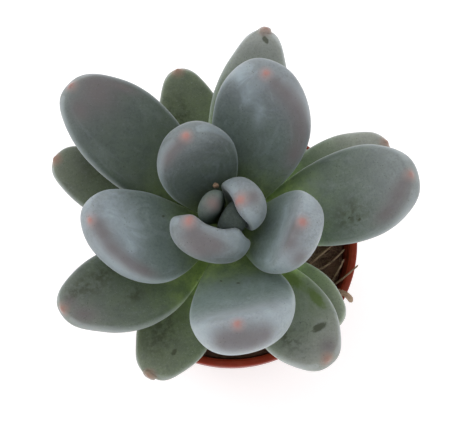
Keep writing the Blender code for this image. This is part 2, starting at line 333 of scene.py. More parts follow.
def makePotPlastic(spec, high):
    material, shader, w = newFinish("pot_plastic", {
        "Subsurface Weight": 0.04, "Subsurface Radius": (1.0, 0.3, 0.2), "Subsurface Scale": 0.8 * mm,
        "IOR": 1.49, "Specular IOR Level": 0.18,
    })
    x, y, z = w.place().split()
    radius = (x * x + y * y) ** 0.5
    height = z / high.z
    clouds = w.cloud(90.0, 4.0, 0.6)
    fine = w.cloud(700.0, 4.0, 0.65)
    flow = w.cloud(1.0, 3.0, 0.5, w.stretched((60.0, 60.0, 900.0)))
    smear = w.cloud(1.0, 4.0, 0.6, w.stretched((140.0, 140.0, 420.0)), 0.8)
    colour = w.tint(clouds.ease(0.35, 0.65), spec["deep"], spec["body"])
    colour = w.tint(0.65, colour, spec["body"])
    colour = w.tint((flow.ease(0.45, 0.7) * 0.18).clip(), colour, spec["worn"])
    lipEdge = height.ease(0.985, 1.0)
    colour = w.tint((lipEdge * (0.15 + 0.35 * fine.ease(0.45, 0.65))).clip(), colour, spec["worn"])
    dust = smear.ease(0.52, 0.80) * height.ease(0.45, 1.0) * 0.25 + fine.ease(0.62, 0.8) * 0.12
    colour = w.tint(dust.clip(), colour, spec["dust"])
    footRub = (1 - height.ease(0.0, 0.05)) * fine.ease(0.4, 0.6) * 0.5
    colour = w.tint(footRub.clip(), colour, spec["dust"])
    # the inner wall is darker in patches, less so towards the lip
    inner = 1 - (radius - (high.x * spec["wallAtFoot"] + z * potTaper)).ease(-0.7 * mm, -0.2 * mm)
    innerDarkPatches = (smear.ease(0.42, 0.66) * (1 - height.ease(0.90, 1.0)) * 0.7 + fine.ease(0.60, 0.70) * 0.3) * inner
    colour = w.tint(innerDarkPatches.clip(), colour, spec["innerDarkPatches"])
    scratch = w.cloud(1.0, 2.0, 0.4, w.stretched((30.0, 30.0, 2600.0), (0.06, 0.03, 0))).ease(0.62, 0.72)
    normal = w.bump(w.cloud(1800.0, 2.0, 0.6), 0.015 * mm, 0.5)
    normal = w.bump(flow, 0.05 * mm, 0.4, normal)
    normal = w.bump(scratch, -0.02 * mm, 0.4, normal)
    normal = w.bump(innerDarkPatches.clip(), 0.12 * mm, 0.5, normal)
    rough = 0.36 + 0.10 * fine + 0.30 * dust + 0.45 * innerDarkPatches + 0.08 * scratch
    plug(shader, colour=colour, rough=rough.clip(), normal=normal)
    return material


# ---- potting mix, roots and stem

mixLooks = {
    "dark": (0.110, 0.078, 0.056),
    "brown": (0.350, 0.250, 0.175),
    "tan": (0.560, 0.430, 0.300),
    # painted shade and painted reflection: near the wall the mix is darker and redder, as shade with the
    # pot's red reflected into it
    "wallShadeAndRedBounce": (0.140, 0.052, 0.036),
    "wallFrom": 17 * mm,  # the pot's red shines on the mix from here out to the wall
    "wallTo": 23 * mm,
}


def makePottingMix(spec):
    material, shader, w = newFinish("potting_mix", {"Specular IOR Level": 0.25})
    coarse = w.cloud(260.0, 4.0, 0.65)
    fine = w.cloud(1300.0, 4.0, 0.7)
    thread = w.cloud(1.0, 3.0, 0.6, w.stretched((300.0, 2400.0, 900.0), (0, 0, 0.6)), 1.2)
    colour = w.tint(coarse.ease(0.35, 0.68), spec["dark"], spec["brown"])
    colour = w.tint((fine.ease(0.56, 0.74) * 0.55).clip(), colour, spec["tan"])
    colour = w.tint((thread.ease(0.60, 0.70) * 0.5).clip(), colour, spec["tan"])
    x, y = w.place().split()[:2]
    # painted shade with the pot's red reflected in it, from wallFrom out to the wall
    wallShadeAndRedBounce = ((x * x + y * y) ** 0.5).ease(spec["wallFrom"], spec["wallTo"])
    colour = w.tint(wallShadeAndRedBounce * (0.68 - 0.6 * fine.ease(0.56, 0.74)), colour, spec["wallShadeAndRedBounce"])
    normal = w.bump(fine, 0.25 * mm, 0.8)
    normal = w.bump(thread, 0.12 * mm, 0.6, normal)
    plug(shader, colour=colour, rough=(0.84 + 0.14 * fine).clip(), normal=normal)
    return material


rootColours = {
    "pale": (0.380, 0.270, 0.185),
    "mid": (0.240, 0.155, 0.100),
    "dark": (0.100, 0.066, 0.044),
}


def makeRootSkin(spec):
    material, shader, w = newFinish("root_skin", {"Specular IOR Level": 0.3})
    length = w.cloud(900.0, 4.0, 0.65)
    bands = w.cloud(240.0, 3.0, 0.6)
    colour = w.tint(bands.ease(0.35, 0.65), spec["mid"], spec["pale"])
    colour = w.tint((length.ease(0.52, 0.72) * 0.75).clip(), colour, spec["dark"])
    normal = w.bump(length, 0.08 * mm, 0.8)
    normal = w.bump(w.cloud(3200.0, 2.0, 0.6), 0.03 * mm, 0.6, normal)
    plug(shader, colour=colour, rough=(0.72 + 0.2 * length).clip(), normal=normal)
    return material


stemColours = {
    "bark": (0.180, 0.150, 0.082),
    "green": (0.130, 0.165, 0.060),
    "crack": (0.050, 0.036, 0.020),
    "scar": (0.330, 0.235, 0.135),
    "scarRim": (0.095, 0.062, 0.034),
}


def makeStemBark(spec):
    material, shader, w = newFinish("stem_bark", {"Subsurface Weight": 0.05, "Subsurface Scale": 0.8 * mm})
    scar, height = w.attribute("scar"), w.attribute("height")
    grain = w.cloud(1.0, 4.0, 0.6, w.stretched((1500.0, 1500.0, 380.0)))
    cracks = w.cloud(1.0, 3.0, 0.6, w.stretched((1900.0, 1900.0, 520.0)), 1.5)
    blot = w.cloud(330.0, 3.0, 0.6)
    green = height.ease(0.15, 0.6) * (0.45 + 0.7 * blot.ease(0.4, 0.6))
    colour = w.tint(green.clip(), spec["bark"], spec["green"])
    colour = w.tint((cracks.ease(0.56, 0.66) * 0.75).clip(), colour, spec["crack"])
    colour = w.tint(scar.ease(0.45, 0.8) * 0.85, colour, spec["scar"])
    rim = scar.ease(0.12, 0.35) * (1 - scar.ease(0.4, 0.62))
    colour = w.tint(rim * 0.8, colour, spec["scarRim"])
    normal = w.bump(grain, 0.12 * mm, 0.7)
    normal = w.bump(cracks, -0.10 * mm, 0.7, normal)
    plug(shader, colour=colour, rough=(0.62 + 0.25 * grain).clip(), normal=normal)
    return material


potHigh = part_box("pot")[1]
finishes = {
    "leaf": makeLeafSkin(leafSkin, "leaf_skin", sheen=0.34, gloss=0.45),
    # painted shade: the middle pair gets a copy of the leaf skin without sheen or gloss, so it reads darker
    # in the shaded crown
    "shadedHeart": makeLeafSkin(leafSkin, "leaf_skin_heart", sheen=0.0, gloss=0.05),  # the dark pair in the middle
    "pot": makePotPlastic(potPlastic, potHigh),
    "soil": makePottingMix(mixLooks),
    "root": makeRootSkin(rootColours),
    "stem": makeStemBark(stemColours),
}
print("finishes made")


# ---- leaves: each CAD leaf's rings are read and drawn again as one smooth skin

leafShape = {
    "sides": 16,  # how the CAD leaf is divided
    "rings": 13,
    "skinSides": 112,  # how the finished leaf is divided
    "skinRings": 104,
    "crownFoot": Vector((-1.2 * mm, 0, 62 * mm)),  # a leaf's foot is its end nearer to this
    "crownTop": Vector((-1.2 * mm, 0, 130 * mm)),  # a leaf's upper face looks towards this
    # the dark finish is a shaded copy of the leaf skin, standing in for the shade in the crown
    "shadedHeart": 2,  # this many leaves in the middle have the dark finish
    "sink": 0.9 * mm,  # how far the foot goes into the stem
    "pointHeight": 0.34 * mm,
    "pointWidth": 0.60 * mm,
    "pointFullSize": 40 * mm,  # a smaller leaf has a smaller point
    "hollow": 0.22 * mm,  # how far the upper face sinks behind the crest of the end
    "waver": 0.10 * mm,
    "waverSpan": 8 * mm,
    "waverFine": 2.8 * mm,
    "swell": 0.22 * mm,  # gives back what the softening takes off
    "fullSize": 22 * mm,  # a smaller leaf is hollowed, wavered and swollen less
    "bulge": 1.3 * mm,
}

# how waxy each leaf is, how light (its own tone together with painted light and shade: darker where the leaf
# sits in shade, lighter where more light falls), how rosy its point is, and how many times it is softened
leafLooks = {
    "leaf_01": (0.0, 0.30, 0.0, 60), "leaf_02": (0.0, 0.80, 0.14, 90), "leaf_03": (0.9, 0.85, 1.0, 60),
    "leaf_04": (0.9, 0.70, 1.0, 60), "leaf_05": (0.6, 0.48, 1.0, 30), "leaf_06": (1.0, 1.10, 1.0, 40),
    "leaf_07": (1.0, 0.85, 1.0, 30), "leaf_08": (0.9, 0.70, 1.0, 30), "leaf_09": (1.0, 1.25, 1.0, 40),
    "leaf_10": (0.4, 0.46, 0.9, 30), "leaf_11": (0.7, 0.79, 0.8, 30), "leaf_12": (0.4, 0.54, 1.0, 20),
    "leaf_13": (0.8, 1.30, 1.0, 20), "leaf_14": (0.7, 1.18, 1.0, 20), "leaf_15": (0.3, 0.55, 1.0, 20),
    "leaf_16": (0.8, 1.65, 1.0, 20), "leaf_17": (0.1, 0.68, 1.0, 20), "leaf_18": (0.1, 0.70, 1.0, 20),
    "leaf_19": (0.3, 1.35, 0.0, 20), "leaf_20": (0.4, 1.20, 1.0, 20),
}

# marks on single leaves: share of the length, place across from -1 to 1, which face, length and width in mm
# the pale marks on the crests of the ends are painted highlights
leafMarks = {
    "leaf_01": [("bulge", 0.75, 0.00, 1, 8.0, 8.0), ("bulge", 0.75, 0.00, -1, 8.0, 8.0)],
    "leaf_02": [("bulge", 0.75, 0.00, 1, 6.5, 4.5), ("flush", 0.99, 0.00, 1, 3.6, 3.6)],
    "leaf_03": [("flush", 0.97, -0.30, -1, 3.0, 3.0), ("bulge", 0.93, -0.30, 1, 6.0, 8.0)],
    "leaf_04": [("bulge", 0.97, -0.10, 1, 4.0, 5.0), ("bulge", 0.80, 0.95, 1, 4.0, 4.0),
                ("flush", 0.98, 0.34, -1, 4.0, 4.0), ("flush", 0.94, 0.54, -1, 5.0, 4.5),
                ("flush", 0.89, 0.77, -1, 5.0, 4.0), ("flush", 0.90, 0.20, -1, 7.0, 6.0)],
    "leaf_05": [("flush", 0.98, 0.70, 1, 4.0, 3.0), ("flush", 0.92, 0.90, 1, 6.0, 3.0)],
    "leaf_06": [("flush", 0.98, -0.45, 1, 4.0, 4.0), ("flush", 0.95, -0.90, 1, 5.0, 4.5),
                ("flush", 0.88, -0.90, -1, 5.0, 4.0), ("frostAndHighlight", 0.68, 0.30, 1, 2.6, 5.0),
                ("frostAndHighlight", 0.70, -0.20, 1, 2.4, 6.0), ("frostAndHighlight", 0.62, -0.70, 1, 3.0, 4.0)],
    "leaf_07": [("flush", 0.98, 0.25, 1, 3.4, 3.6), ("flush", 0.96, 0.55, 1, 4.4, 4.0),
                ("flush", 0.92, 0.84, 1, 6.0, 4.0), ("flush", 0.83, 0.86, 1, 7.0, 3.2),
                ("flush", 0.72, 0.84, 1, 7.0, 2.6), ("frostAndHighlight", 0.85, -0.30, 1, 6.0, 12.0),
                ("frostAndHighlight", 0.78, 0.25, 1, 7.0, 11.0), ("stain", 0.42, -0.40, 1, 1.0, 0.5),
                ("stain", 0.36, -0.10, 1, 0.8, 0.4)],
    "leaf_08": [("flush", 0.98, -0.65, 1, 3.4, 3.4), ("flush", 0.94, -0.80, 1, 6.0, 5.0),
                ("flush", 0.86, -0.90, 1, 8.0, 5.0), ("flush", 0.72, -0.85, 1, 9.0, 4.4),
                ("flush", 0.55, -0.80, 1, 8.0, 3.6), ("frostAndHighlight", 0.93, 0.75, 1, 4.0, 5.0),
                ("frostAndHighlight", 0.84, 0.30, 1, 6.0, 4.0), ("frostAndHighlight", 0.72, 0.05, 1, 6.0, 2.4)],
    "leaf_09": [("flush", 0.99, 0.00, -1, 3.0, 5.0), ("flush", 0.98, -0.45, -1, 5.0, 7.0),
                ("flush", 0.97, 0.35, -1, 6.0, 7.0), ("flush", 0.95, 0.73, -1, 5.0, 5.0),
                ("flush", 0.97, -0.75, -1, 5.0, 5.0),
                ("frostAndHighlight", 0.88, -0.75, 1, 2.4, 6.0), ("frostAndHighlight", 0.95, 0.00, 1, 2.4, 7.0),
                ("frostAndHighlight", 0.93, 0.80, 1, 2.4, 6.0), ("stain", 0.42, 0.00, 1, 0.5, 0.4),
                ("stain", 0.37, -0.35, 1, 0.4, 0.3)],
    "leaf_10": [("flush", 0.90, -0.30, 1, 10.0, 8.0), ("flush", 0.93, -0.60, 1, 6.0, 2.5),
                ("flush", 0.83, -0.77, 1, 8.0, 2.0), ("flush", 0.90, 0.37, 1, 5.0, 4.0)],
    "leaf_11": [("mottle", 0.62, -0.40, 1, 9.0, 6.0), ("flush", 0.97, -0.30, 1, 4.0, 3.0),
                ("flush", 0.93, -0.50, 1, 6.0, 4.0), ("flush", 0.84, -0.70, 1, 7.0, 3.4),
                ("stain", 0.67, -0.55, 1, 0.8, 0.7), ("stain", 0.60, -0.45, 1, 0.4, 0.4)],
    "leaf_12": [("flush", 0.93, 0.50, 1, 6.0, 4.0), ("flush", 0.95, -0.20, 1, 3.0, 3.0),
                ("mottle", 0.80, -0.32, 1, 7.0, 4.5), ("mottle", 0.70, -0.45, 1, 8.0, 4.0),
                ("mottle", 0.89, -0.43, 1, 5.0, 3.0), ("mottle", 0.60, 0.20, 1, 6.0, 3.0)],
    "leaf_13": [("stain", 0.95, -0.20, 1, 2.4, 1.3)],
    "leaf_14": [("flush", 0.95, 0.40, 1, 4.0, 4.0), ("stain", 0.81, 0.34, 1, 1.9, 4.4),
                ("patch", 0.62, 0.72, 1, 6.5, 2.4), ("patch", 0.42, 0.60, 1, 6.0, 3.0),
                ("mottle", 0.72, -0.40, 1, 9.0, 4.0)],
    "leaf_15": [("mottle", 0.75, -0.30, 1, 8.0, 5.0)],
    "leaf_17": [("mottle", 0.70, -0.20, 1, 12.0, 7.0), ("stain", 0.78, 0.30, 1, 2.0, 1.2)],
    "leaf_18": [("mottle", 0.70, 0.30, 1, 10.0, 5.0)],
}


def leafRings(node, spec):
    # the leaf's points as rings from foot to tip; each starts at one edge and runs over the upper face
    bm = bmesh.new()
    bm.from_mesh(frame["nodes"][node].data)
    bmesh.ops.remove_doubles(bm, verts=bm.verts, dist=0.002 * mm)
    ends = sorted(bm.verts, key=lambda v: len(v.link_edges))[-2:]
    ends.sort(key=lambda v: (v.co - spec["crownFoot"]).length)
    rank = {ends[0]: 0}
    queue = [ends[0]]
    for vert in queue:
        for edge in vert.link_edges:
            other = edge.other_vert(vert)
            if other not in rank:
                rank[other] = rank[vert] + 1
                queue.append(other)
    rings = [[v for v in bm.verts if rank[v] == number] for number in range(spec["rings"] + 1)]
    middles = [np.mean([v.co for v in ring], axis=0) for ring in rings]
    grid = np.zeros((spec["rings"] + 1, spec["sides"], 3))
    grid[0], grid[-1] = middles[0], middles[-1]
    acrossBefore = None
    for number in range(1, spec["rings"]):
        ring = rings[number]
        points = np.array([v.co for v in ring]) - middles[number]
        tangent = middles[number + 1] - middles[number - 1]
        tangent /= np.linalg.norm(tangent)
        across = np.linalg.eigh(points.T @ points)[1][:, 2]
        if acrossBefore is None:
            toTop = np.array(spec["crownTop"]) - middles[number]
            flip = np.cross(tangent, across) @ toTop < 0
        else:
            flip = across @ acrossBefore < 0
        across = -across if flip else across
        acrossBefore = across
        above = np.cross(tangent, across)
        walk = [max(ring, key=lambda v: np.array(v.co) @ across)]
        while len(walk) < spec["sides"]:
            beside = [edge.other_vert(walk[-1]) for edge in walk[-1].link_edges]
            fresh = [v for v in beside if rank[v] == number and v not in walk]
            walk.append(max(fresh, key=lambda v: np.array(v.co) @ above) if len(walk) == 1 else fresh[0])
        grid[number] = [v.co for v in walk]
    bm.free()
    return grid


def curveShares(count, places):
    # how much each point of a loop adds at each place, for one smooth curve through them all
    near = np.zeros((len(places), count))
    for row, place in enumerate(places):
        first = math.floor(place)
        s = place - first
        shares = ((1 - s) ** 3, 3 * s**3 - 6 * s**2 + 4, -3 * s**3 + 3 * s**2 + 3 * s + 1, s**3)
        for step, share in enumerate(shares):
            near[row, (first - 1 + step) % count] += share / 6
    ring = np.eye(count)
    bend = (4 * ring + np.roll(ring, 1, axis=1) + np.roll(ring, -1, axis=1)) / 6
    return near @ np.linalg.inv(bend)


def smoothBell(value, middle, width):
    return np.exp(-(((value - middle) / width) ** 2))


def rise(value, low, high):
    share = np.clip((value - low) / (high - low), 0, 1)
    return share * share * (3 - 2 * share)


def newSkin(surface, skinSides, skinRings):
    # a ball whose points are moved onto the surface; it gives each point's ring and place round it
    bpy.ops.object.select_all(action="DESELECT")
    bpy.ops.mesh.primitive_uv_sphere_add(segments=skinSides, ring_count=skinRings, radius=1)
    piece = bpy.context.object
    mesh = piece.data
    ball = np.zeros(len(mesh.vertices) * 3)
    mesh.vertices.foreach_get("co", ball)
    ball = ball.reshape(-1, 3)
    fromFoot = math.pi - np.arccos(np.clip(ball[:, 2], -1, 1))
    turn = np.arctan2(ball[:, 1], ball[:, 0])
    ringOf = np.rint(fromFoot / math.pi * skinRings).astype(int)
    sideOf = np.rint(turn / (2 * math.pi) * skinSides).astype(int) % skinSides
    points = surface[ringOf, sideOf]
    mesh.vertices.foreach_set("co", points.ravel())
    mesh.update()
    normals = np.zeros(len(points) * 3)
    mesh.vertices.foreach_get("normal", normals)
    return piece, points, normals.reshape(-1, 3), ringOf, sideOf


def unit(vector):
    return vector / np.linalg.norm(vector)


def soften(surface, passes):
    # the surface with its folds eased, all over but at the foot
    count, half = len(surface) - 1, surface.shape[1] // 2
    loop = np.concatenate([surface, [np.roll(surface[count - k], half, axis=0) for k in range(1, count)]])
    for _ in range(passes):
        loop = (np.roll(loop, 1, axis=0) + 2 * loop + np.roll(loop, -1, axis=0)) / 4
        loop = (np.roll(loop, 1, axis=1) + 2 * loop + np.roll(loop, -1, axis=1)) / 4
    # the curves meet again at the tip, over the last rings
    miss = loop[count] - loop[count].mean(axis=0)
    nearTip = 1 - rise(np.arange(count, -1, -1), 0, 18)
    eased = loop[:count + 1] - miss * nearTip[:, None, None]
    share = rise(np.linspace(0, 1, count + 1), 0.20, 0.45)[:, None, None]
    return surface * (1 - share) + eased * share


def writeFacts(mesh, facts):
    # each fact becomes an attribute that the finish reads; one number holds for the whole mesh
    for key, values in facts.items():
        attribute = mesh.attributes.new(key, "FLOAT", "POINT")
        everywhere = np.zeros(len(mesh.vertices)) + values
        attribute.data.foreach_set("value", everywhere.astype(np.float32))


def growLeaf(node, spec, look, marks):
    number = int(node[-2:])
    waxy, toneAndPaintedLight, blush, eased = look
    rings, sides = spec["rings"], spec["sides"]
    grid = leafRings(node, spec)
    back = [np.roll(grid[rings - k], -sides // 2, axis=0) for k in range(1, rings)]
    loop = np.concatenate([grid, back])
    skinRings, skinSides = spec["skinRings"], spec["skinSides"]
    alongShares = curveShares(2 * rings, [k * rings / skinRings for k in range(skinRings + 1)])
    roundShares = curveShares(sides, [j * sides / skinSides for j in range(skinSides)])
    surface = soften(np.einsum("ka,jb,abc->kjc", alongShares, roundShares, loop), eased)
    piece, points, normals, ringOf, sideOf = newSkin(surface, skinSides, skinRings)
    mesh = piece.data

    turn = sideOf * 2 * math.pi / skinSides
    fromFoot = ringOf * math.pi / skinRings
    girth = np.sin(fromFoot)
    side, upper = np.cos(turn), np.sin(turn)
    along = (1 - np.cos(fromFoot)) / 2
    tip, foot = surface[-1, 0], surface[0, 0]
    outwards = unit(tip - surface[-8].mean(axis=0))  # the way the end points
    tipNear = np.linalg.norm(points - tip, axis=1)
    size = np.ptp(points, axis=0).max()
    strength = min(1.0, size / spec["fullSize"])

    # the face sinks a little behind the end's crest, and the whole skin wavers and swells
    hollow = smoothBell(along, 0.70, 0.16) * smoothBell(side, 0, 0.62) * rise(upper, 0.0, 0.5)
    random.seed(number)
    shift = Vector((random.uniform(0, 9), random.uniform(0, 9), random.uniform(0, 9)))
    waver = np.array([noise.noise(Vector(p) / spec["waverSpan"] + shift)
                      + 0.35 * noise.noise(Vector(p) / spec["waverFine"] + shift) for p in points])
    lift = spec["waver"] * waver * girth - spec["hollow"] * hollow + spec["swell"] * rise(along, 0.2, 0.5)
    points = points + normals * (strength * lift)[:, None]

    # the small point at the tip, and the foot that runs into the stem
    prick = smoothBell(tipNear, 0, spec["pointWidth"]) * spec["pointHeight"]
    prick = prick * min(1.0, 0.45 + size / spec["pointFullSize"]) * min(1.0, 0.1 + blush)
    points = points + outwards * prick[:, None]
    footWay = unit(foot - surface[6].mean(axis=0))
    points = points + footWay * ((1 - rise(along, 0.0, 0.05)) * spec["sink"])[:, None]

    # how much of each mark every point has
    kinds = ("stain", "patch", "flush", "frostAndHighlight", "mottle", "bulge")
    marksOn = {kind: np.zeros(len(points)) for kind in kinds}
    for kind, place, acrossPlace, face, lengthWise, widthWise in marks:
        wrongFace = (upper * face < 0.05) * 9
        centre = np.argmin((along - place) ** 2 + ((side - acrossPlace) * 0.5) ** 2 + wrongFace)
        ahead = points[(ringOf == ringOf[centre] + 2) & (sideOf == sideOf[centre])][0] - points[centre]
        away = points - points[centre]
        lengthPart = away @ unit(ahead)
        restPart = np.sqrt(np.maximum((away**2).sum(axis=1) - lengthPart**2, 0))
        spot = (lengthPart / (lengthWise * mm / 2)) ** 2 + (restPart / (widthWise * mm / 2)) ** 2
        marksOn[kind] += (1 - marksOn[kind]) * np.exp(-spot)
    points = points + normals * (marksOn.pop("bulge") * spec["bulge"])[:, None]
    mesh.vertices.foreach_set("co", points.ravel())
    mesh.update()

    writeFacts(mesh, {
        "along": along, "side": side * np.minimum(1, girth * 4), "upper": upper * np.minimum(1, girth * 6),
        "tipNear": tipNear / mm, "age": (number - 1) / (len(leafNodes) - 1), "seed": number * 3.7,
        "waxy": waxy, "toneAndPaintedLight": toneAndPaintedLight, "blush": blush, **marksOn,
    })
    mesh.materials.append(finishes["leaf" if number > spec["shadedHeart"] else "shadedHeart"])
    pick(piece)
    bpy.ops.object.shade_smooth()
    return settle(piece, node + "_skin", [node])


for leafNode in leafNodes:
    growLeaf(leafNode, leafShape, leafLooks[leafNode], leafMarks.get(leafNode, []))
print("leaves grown")


# ---- pot: turned from its outline, with a rounded lip

potShape = {
    "segments": 160,
    "wall": 0.9 * mm,
    "lipHeight": 6 * mm,
    "lipOverhang": 0.7 * mm,
    "footRadius": 19.5 * mm,
    "raise": 2 * mm,  # how far the floor's underside is off the ground
    "footRing": 2.6 * mm,
    "boss": 4 * mm,
    "floorSteps": (8 * mm, 14 * mm),
    "wallSteps": 24,
    "lipRound": 0.45 * mm,
    "lipInnerRound": 0.25 * mm,
    "lipFootRound": 0.28 * mm,
    "footRound": 0.8 * mm,
    "holes": 6,
    "holeSides": 40,
    "holeRadius": 2.2 * mm,
    "holeDepth": 8 * mm,
    "holeCircle": 10.5 * mm,
    "outOfRound": 0.10 * mm,
}


def arc(middleRadius, middleZ, size, start, end, steps):
    # points along a rounded edge, angles in degrees from outwards to up
    turns = [math.radians(start + (end - start) * k / steps) for k in range(steps + 1)]
    return [(middleRadius + size * math.cos(a), middleZ + size * math.sin(a)) for a in turns]


def turnOutline(outline, segments):
    # a circle extruded ring by ring down the outline; its two ends close at the middle
    bpy.ops.object.select_all(action="DESELECT")
    radius, z = outline[0]
    bpy.ops.mesh.primitive_circle_add(vertices=segments, radius=radius, location=(0, 0, 0))
    piece = bpy.context.object
    piece.data.transform(Matrix.Translation((0, 0, z)))
    bpy.ops.object.mode_set(mode="EDIT")
    bpy.ops.mesh.select_all(action="SELECT")
    for nextRadius, nextZ in outline[1:]:
        bpy.ops.mesh.extrude_edges_move(TRANSFORM_OT_translate={"value": (0, 0, nextZ - z)})
        share = nextRadius / radius
        bpy.ops.transform.resize(value=(share, share, 1), center_override=(0, 0, nextZ))
        radius, z = nextRadius, nextZ
    bpy.ops.object.mode_set(mode="OBJECT")
    bm = bmesh.new()
    bm.from_mesh(piece.data)
    openEdges = [edge for edge in bm.edges if edge.is_boundary]
    bmesh.ops.holes_fill(bm, edges=openEdges)
    bmesh.ops.recalc_face_normals(bm, faces=bm.faces)
    bm.to_mesh(piece.data)
    bm.free()
    return piece


def makePot(spec, high):
    top, rim, foot = high.z, high.x, spec["footRadius"]
    wall, floorUnder, boss = spec["wall"], spec["raise"], spec["boss"]
    wallTop = rim - spec["lipOverhang"]
    lipFoot = top - spec["lipHeight"]
    ringInner = foot - spec["footRing"]
    floorTop = floorUnder + wall
    near, far = spec["floorSteps"]

    def outer(z):
        return foot + (wallTop - foot) * z / top

    innerHeights = np.linspace(floorTop, top - 0.5 * mm, spec["wallSteps"])
    outerHeights = np.linspace(lipFoot - 0.4 * mm, 1.0 * mm, spec["wallSteps"])
    lip, inner, under = spec["lipRound"], spec["lipInnerRound"], spec["lipFootRound"]
    outline = [(0.3 * mm, floorTop), (near, floorTop), (far, floorTop)]
    outline += [(outer(z) - wall, z) for z in innerHeights[1:]]
    outline += [(outline[-1][0] + 0.03 * mm, top - inner)]
    outline += arc(wallTop - wall + 0.5 * mm, top - inner, inner, 150, 90, 3)
    outline += arc(rim - lip, top - lip, lip, 90, 0, 5)
    outline += [(rim - 0.06 * mm, top - 1.6 * mm), (rim - 0.25 * mm, top - 3 * mm)]
    outline += [(rim - 0.42 * mm, lipFoot + 0.6 * mm)]
    outline += arc(rim - 0.75 * mm, lipFoot + under, under, 0, -90, 4)
    outline += [(outer(lipFoot) + 0.02 * mm, lipFoot - 0.05 * mm)]
    outline += [(outer(z), z) for z in outerHeights]
    outline += arc(foot - 0.75 * mm, spec["footRound"], spec["footRound"], 0, -90, 5)
    outline += [(ringInner + 0.3 * mm, 0.0), (ringInner, 0.12 * mm)]
    outline += [(ringInner - 0.4 * mm, floorUnder - 0.3 * mm), (ringInner - 0.8 * mm, floorUnder)]
    outline += [(far, floorUnder), (near, floorUnder), (boss + 0.5 * mm, floorUnder)]
    outline += [(boss + 0.1 * mm, 0.2 * mm), (boss - 0.2 * mm, 0.0)]
    outline += [(1.4 * mm, 0.0), (1.1 * mm, 0.25 * mm), (0.7 * mm, 0.25 * mm), (0.5 * mm, 0.05 * mm)]
    piece = turnOutline(outline, spec["segments"])
    cutters = []
    for number in range(spec["holes"]):
        angle = 2 * math.pi * number / spec["holes"]
        where = (spec["holeCircle"] * math.cos(angle), spec["holeCircle"] * math.sin(angle), floorUnder)
        bpy.ops.object.select_all(action="DESELECT")
        bpy.ops.mesh.primitive_cylinder_add(
            vertices=spec["holeSides"], radius=spec["holeRadius"], depth=spec["holeDepth"], location=where)
        cutter = bpy.context.object
        cut = piece.modifiers.new("hole", "BOOLEAN")
        cut.operation = "DIFFERENCE"
        cut.object = cutter
        cutters.append(cutter)
    applyAll(piece)
    for cutter in cutters:
        bpy.data.objects.remove(cutter, do_unlink=True)
    for vert in piece.data.vertices:
        # a thin pot is never quite round
        angle = math.atan2(vert.co.y, vert.co.x)
        share = vert.co.z / top
        ease = spec["outOfRound"] * share * share * (math.cos(2 * angle + 0.6) - 1) / rim
        vert.co.x += vert.co.x * ease
        vert.co.y += vert.co.y * ease
    piece.data.materials.append(finishes["pot"])
    pick(piece)
    bpy.ops.object.shade_smooth_by_angle(angle=math.radians(38))
    return settle(piece, "pot_body", ["pot"])


makePot(potShape, potHigh)
print("pot turned")


# ---- potting mix: a lumpy surface with crumbs, bark and fibres lying on it

soilShape = {
    "segments": 300,
    "ringStep": 0.40 * mm,
    "edgeDrop": 2.2 * mm,  # how far the edge lies below the highest point
    "mound": 1.9 * mm,
    "lump": 0.75 * mm,
    "crumbs": 620,
    "crumbSizes": [0.28, 0.36, 0.45, 0.55, 0.75, 1.0],
    "chips": 46,
    "fibres": 300,
    "fibreSteps": 8,
    "stemClear": 4.0 * mm,
}
soilLow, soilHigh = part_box("soil")


def soilHeight(x, y):
    # the surface rises a little to the stem
    radius = math.hypot(x, y)
    base = soilHigh.z - 0.25 * mm - soilShape["mound"] * min(1.0, radius / soilHigh.x)
    place = Vector((x, y, 0)) / mm
    lumps = noise.noise(place / 4.2) * 0.55 + noise.noise(place / 1.7 + Vector((7, 3, 1))) * 0.42
    lumps += abs(noise.noise(place / 0.8 + Vector((2, 9, 4)))) * 0.32
    return base + soilShape["lump"] * lumps


def makeSoil(spec, low, high):
    bottom = low.z + 0.02 * mm
    edgeTop = high.z - spec["edgeDrop"]
    rim = high.x - 0.05 * mm

    def wall(z):
        return rim - (edgeTop - z) * potTaper

    count = int(wall(edgeTop) / spec["ringStep"])
    outline = [(0.3 * mm, edgeTop)]
    outline += [(wall(edgeTop) * (k + 1) / count, edgeTop) for k in range(1, count)]
    outline += [(wall(z), z) for z in np.linspace(edgeTop - 0.8 * mm, bottom + 0.4 * mm, 10)]
    outline += [(wall(bottom) - 0.4 * mm, bottom), (8 * mm, bottom), (0.5 * mm, bottom)]
    piece = turnOutline(outline, spec["segments"])
    for vert in piece.data.vertices:
        if vert.co.z > edgeTop - 0.1 * mm:
            edge = 1 - rise(math.hypot(vert.co.x, vert.co.y), rim - 0.5 * mm, rim)
            vert.co.z += (soilHeight(vert.co.x, vert.co.y) - edgeTop) * (0.35 + 0.65 * edge)
    piece.data.materials.append(finishes["soil"])
    pick(piece)
    bpy.ops.object.shade_smooth()
    return settle(piece, "soil_body", ["soil"])


def scatterSpot(chance, inside=0.0):
    # a place on the soil, clear of the stem and the wall
    while True:
        angle = chance.uniform(0, 2 * math.pi)
        radius = math.sqrt(chance.uniform(0.03, 1.0)) * (soilHigh.x - 0.8 * mm - inside)
        if radius > soilShape["stemClear"]:
            return radius * math.cos(angle), radius * math.sin(angle)


def roughBall(chance, squash):
    # a lumpy ball of radius 1, squashed in y and z
    bpy.ops.object.select_all(action="DESELECT")
    bpy.ops.mesh.primitive_ico_sphere_add(subdivisions=2, radius=1.0)
    ball = bpy.context.object
    mesh = ball.data
    shift = Vector((chance.uniform(0, 50), chance.uniform(0, 50), 0))
    for vert in mesh.vertices:
        vert.co *= 1 + 0.45 * noise.noise(vert.co * 1.4 + shift)
        vert.co = Vector((vert.co.x, vert.co.y * squash[0], vert.co.z * squash[1]))
    bpy.data.objects.remove(ball, do_unlink=True)
    return mesh


